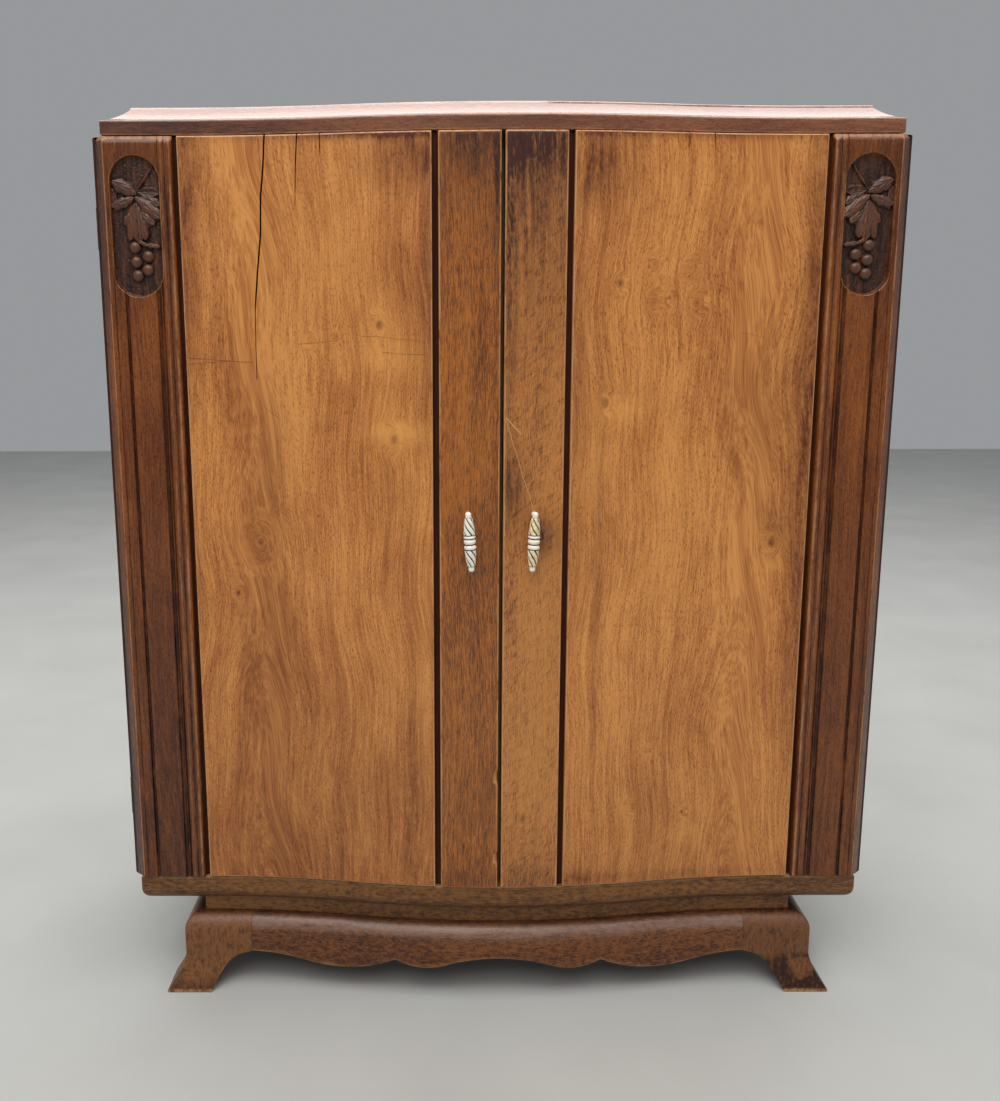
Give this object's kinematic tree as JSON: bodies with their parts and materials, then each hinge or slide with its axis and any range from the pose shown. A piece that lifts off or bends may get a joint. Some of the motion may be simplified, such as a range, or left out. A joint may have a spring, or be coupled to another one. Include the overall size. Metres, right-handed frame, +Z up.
{
  "type": "armoire",
  "caption": "Freestanding armoire with a bowed front, hinged doors, carved vine cartouches, scalloped apron and splayed feet, with a hanging rail, hat shelf and shelves inside.",
  "frame": {"origin": "middle of the bounding box at floor level", "axes": "+Z up, front and doors towards -Y, +X to the right seen from the front"},
  "size_m": [1.3244, 0.51, 1.5365],
  "materials": {
    "walnut_veneer": "French-polished walnut veneer, satin",
    "stile_walnut": "polished walnut, darkened with age",
    "pilaster_walnut": "stained and polished walnut, arrises worn",
    "top_walnut": "stained and polished walnut",
    "olive_walnut": "stained walnut, dull",
    "red_walnut": "stained and polished walnut",
    "side_walnut": "stained walnut",
    "carcass_wood": "planed, unpolished",
    "back_plywood": "thin plywood, unfinished",
    "rail_steel": "plain steel tube",
    "hinge_steel": "dull aged steel",
    "catch_casing": "moulded brown",
    "ivory_plastic": "moulded ivory colour, grooves darkened"
  },
  "bodies": {
    "carcass": {"top_cap": "top_walnut", "cove_front": "top_walnut", "cove_left": "top_walnut", "cove_right": "top_walnut", "top_panel": "top_walnut", "base_board": "olive_walnut", "plinth_front": "olive_walnut", "plinth_left": "olive_walnut", "plinth_right": "olive_walnut", "apron_front": "red_walnut", "apron_left": "red_walnut", "apron_right": "red_walnut", "foot_front_left": "red_walnut", "foot_front_right": "red_walnut", "foot_rear_left": "red_walnut", "foot_rear_right": "red_walnut", "front_post_left": "side_walnut", "front_post_right": "side_walnut", "rear_post_left": "side_walnut", "rear_post_right": "side_walnut", "side_panel_left": "side_walnut", "side_panel_right": "side_walnut", "rear_rail": "carcass_wood", "glue_blocks": "carcass_wood", "back_muntin": "carcass_wood", "partition": "carcass_wood", "hat_shelf": "carcass_wood", "shelf_lower": "carcass_wood", "shelf_middle": "carcass_wood", "shelf_upper": "carcass_wood", "shelf_cleats": "carcass_wood", "back_panel_left": "back_plywood", "back_panel_right": "back_plywood", "hanging_rail": "rail_steel", "rail_sockets": "rail_steel", "hinge_leaves_left": "hinge_steel", "hinge_leaves_right": "hinge_steel", "hinge_screws_carcass": "hinge_steel", "door_catches": "catch_casing"},
    "left_door": {"door_core_left": "carcass_wood", "stile_left": "stile_walnut", "panel_left": "walnut_veneer", "pilaster_left": "pilaster_walnut", "handle_left": "ivory_plastic", "handle_screws_left": "hinge_steel", "moving_leaves_left": "hinge_steel", "hinge_pins_left": "hinge_steel", "hinge_screws_left": "hinge_steel", "strike_left": "hinge_steel"},
    "right_door": {"door_core_right": "carcass_wood", "stile_right": "stile_walnut", "panel_right": "walnut_veneer", "pilaster_right": "pilaster_walnut", "handle_right": "ivory_plastic", "handle_screws_right": "hinge_steel", "moving_leaves_right": "hinge_steel", "hinge_pins_right": "hinge_steel", "hinge_screws_right": "hinge_steel", "strike_right": "hinge_steel"}
  },
  "joints": [
    {"name": "left_door_hinge", "type": "hinge", "parent": "carcass", "child": "left_door", "pos_m": [-0.6575, -0.143, 0.852], "axis": [0, 0, -1], "range_deg": [0, 165]},
    {"name": "right_door_hinge", "type": "hinge", "parent": "carcass", "child": "right_door", "pos_m": [0.6575, -0.143, 0.852], "axis": [0, 0, 1], "range_deg": [0, 165]}
  ]
}
